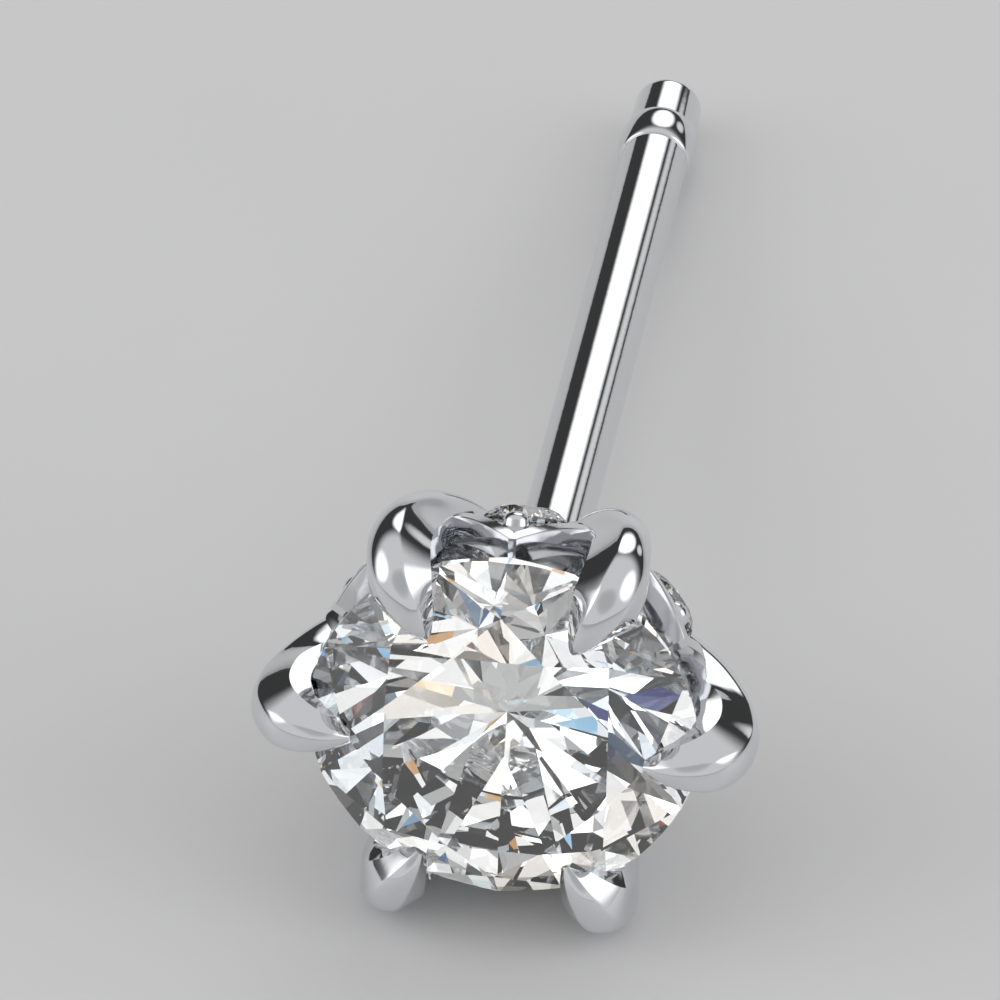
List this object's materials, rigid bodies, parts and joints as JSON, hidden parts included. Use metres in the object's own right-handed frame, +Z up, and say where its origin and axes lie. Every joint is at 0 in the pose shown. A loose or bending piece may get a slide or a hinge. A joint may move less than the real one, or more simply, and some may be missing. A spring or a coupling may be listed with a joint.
{
  "type": "stud earring",
  "caption": "Stud earring: a claw-set round brilliant over a tulip basket of stone-set petals, with a straight post and stop ring.",
  "frame": {"origin": "middle of the resting footprint, on the surface that the stud lies on", "axes": "+Y the way the post points, +Z up, the centre stone faces -Y and a little up"},
  "size_m": [0.0058, 0.0146, 0.005],
  "materials": {
    "white_metal": "mirror-polished platinum or white gold",
    "centre_diamond": "polished facets, colourless",
    "side_diamond": "polished facets, colourless"
  },
  "bodies": {
    "root": {"setting": "white_metal", "centre_stone": "centre_diamond", "side_stone_1": "side_diamond", "side_stone_2": "side_diamond", "side_stone_3": "side_diamond", "side_stone_4": "side_diamond", "side_stone_5": "side_diamond", "side_stone_6": "side_diamond"}
  },
  "joints": []
}
